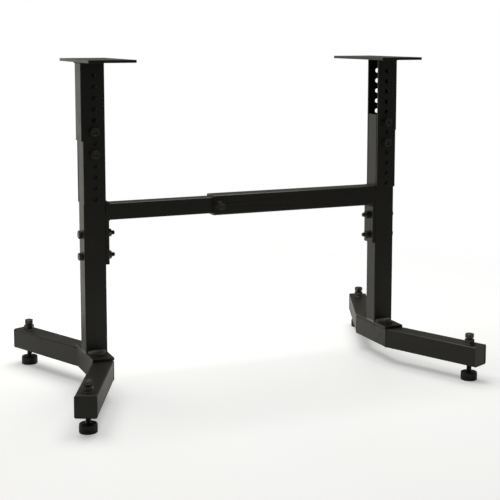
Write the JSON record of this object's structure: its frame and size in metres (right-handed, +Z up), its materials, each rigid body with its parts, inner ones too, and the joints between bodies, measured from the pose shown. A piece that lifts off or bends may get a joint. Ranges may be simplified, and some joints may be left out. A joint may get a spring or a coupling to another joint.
{
  "type": "adjustable table base",
  "caption": "Bare steel base for an adjustable table: two T-shaped legs with splayed feet, a telescoping crossbar and bolted heads that set the height.",
  "frame": {"origin": "on the floor, midway between the two posts and between the front and rear feet", "axes": "+X along the crossbar from the left leg to the right leg, +Y to the back, +Z up"},
  "size_m": [1.0008, 0.6226, 0.7635],
  "materials": {
    "powder_coat": "satin black powder coat, slightly warm",
    "black_fasteners": "black oxide, dull",
    "pad_plastic": "fine moulded texture"
  },
  "bodies": {
    "leg_left": {"base_plate_bolts_left": "black_fasteners", "base_plate_left": "powder_coat", "base_plate_nuts_left": "black_fasteners", "base_plate_washers_left": "black_fasteners", "bracket_bolts_left": "black_fasteners", "bracket_nuts_left": "black_fasteners", "bracket_washers_left": "black_fasteners", "crossbar_bracket_left": "powder_coat", "foot_arm_front_left": "powder_coat", "foot_arm_rear_left": "powder_coat", "foot_center_left": "powder_coat", "foot_end_plate_front_left": "powder_coat", "foot_end_plate_rear_left": "powder_coat", "height_bolts_left": "black_fasteners", "height_nuts_left": "black_fasteners", "height_washers_left": "black_fasteners", "levelling_nuts_left": "black_fasteners", "post_left": "powder_coat", "inner_crossbar": "powder_coat"},
    "head_left": {"head_channel_left": "powder_coat", "top_plate_left": "powder_coat"},
    "pad_front_left": {"levelling_pad_front_left": "pad_plastic"},
    "stem_front_left": {"levelling_stem_front_left": "black_fasteners"},
    "pad_rear_left": {"levelling_pad_rear_left": "pad_plastic"},
    "stem_rear_left": {"levelling_stem_rear_left": "black_fasteners"},
    "leg_right": {"base_plate_bolts_right": "black_fasteners", "base_plate_nuts_right": "black_fasteners", "base_plate_right": "powder_coat", "base_plate_washers_right": "black_fasteners", "bracket_bolts_right": "black_fasteners", "bracket_nuts_right": "black_fasteners", "bracket_washers_right": "black_fasteners", "crossbar_bracket_right": "powder_coat", "foot_arm_front_right": "powder_coat", "foot_arm_rear_right": "powder_coat", "foot_center_right": "powder_coat", "foot_end_plate_front_right": "powder_coat", "foot_end_plate_rear_right": "powder_coat", "height_bolts_right": "black_fasteners", "height_nuts_right": "black_fasteners", "height_washers_right": "black_fasteners", "levelling_nuts_right": "black_fasteners", "post_right": "powder_coat", "outer_crossbar": "powder_coat", "lock_bolt": "black_fasteners", "lock_nut": "black_fasteners"},
    "head_right": {"head_channel_right": "powder_coat", "top_plate_right": "powder_coat"},
    "pad_front_right": {"levelling_pad_front_right": "pad_plastic"},
    "stem_front_right": {"levelling_stem_front_right": "black_fasteners"},
    "pad_rear_right": {"levelling_pad_rear_right": "pad_plastic"},
    "stem_rear_right": {"levelling_stem_rear_right": "black_fasteners"}
  },
  "joints": [
    {"name": "crossbar_slide", "type": "slide", "parent": "leg_left", "child": "leg_right", "axis": [1, 0, 0], "range_m": [-0.18, 0.17]},
    {"name": "height_left", "type": "slide", "parent": "leg_left", "child": "head_left", "axis": [0, 0, 1], "range_m": [-0.0762, 0.0762]},
    {"name": "height_right", "type": "slide", "parent": "leg_right", "child": "head_right", "axis": [0, 0, 1], "range_m": [-0.0762, 0.0762]},
    {"name": "levelling_turn_front_left", "type": "hinge", "parent": "pad_front_left", "child": "stem_front_left", "pos_m": [-0.46661, -0.27463, 0.1], "axis": [0, 0, 1], "range_deg": [-365, 3605]},
    {"name": "levelling_travel_front_left", "type": "slide", "parent": "leg_left", "child": "pad_front_left", "axis": [0, 0, 1], "range_m": [-0.00175, 0.0175]},
    {"name": "levelling_turn_rear_left", "type": "hinge", "parent": "pad_rear_left", "child": "stem_rear_left", "pos_m": [-0.46661, 0.27463, 0.1], "axis": [0, 0, 1], "range_deg": [-365, 3605]},
    {"name": "levelling_travel_rear_left", "type": "slide", "parent": "leg_left", "child": "pad_rear_left", "axis": [0, 0, 1], "range_m": [-0.00175, 0.0175]},
    {"name": "levelling_turn_front_right", "type": "hinge", "parent": "pad_front_right", "child": "stem_front_right", "pos_m": [0.46661, -0.27463, 0.1], "axis": [0, 0, 1], "range_deg": [-365, 3605]},
    {"name": "levelling_travel_front_right", "type": "slide", "parent": "leg_right", "child": "pad_front_right", "axis": [0, 0, 1], "range_m": [-0.00175, 0.0175]},
    {"name": "levelling_turn_rear_right", "type": "hinge", "parent": "pad_rear_right", "child": "stem_rear_right", "pos_m": [0.46661, 0.27463, 0.1], "axis": [0, 0, 1], "range_deg": [-365, 3605]},
    {"name": "levelling_travel_rear_right", "type": "slide", "parent": "leg_right", "child": "pad_rear_right", "axis": [0, 0, 1], "range_m": [-0.00175, 0.0175]}
  ],
  "couplings": [
    {"joint": "levelling_turn_front_left", "follows": "levelling_travel_front_left", "rad_per_m": 3590.4},
    {"joint": "levelling_turn_rear_left", "follows": "levelling_travel_rear_left", "rad_per_m": 3590.4},
    {"joint": "levelling_turn_front_right", "follows": "levelling_travel_front_right", "rad_per_m": 3590.4},
    {"joint": "levelling_turn_rear_right", "follows": "levelling_travel_rear_right", "rad_per_m": 3590.4}
  ]
}
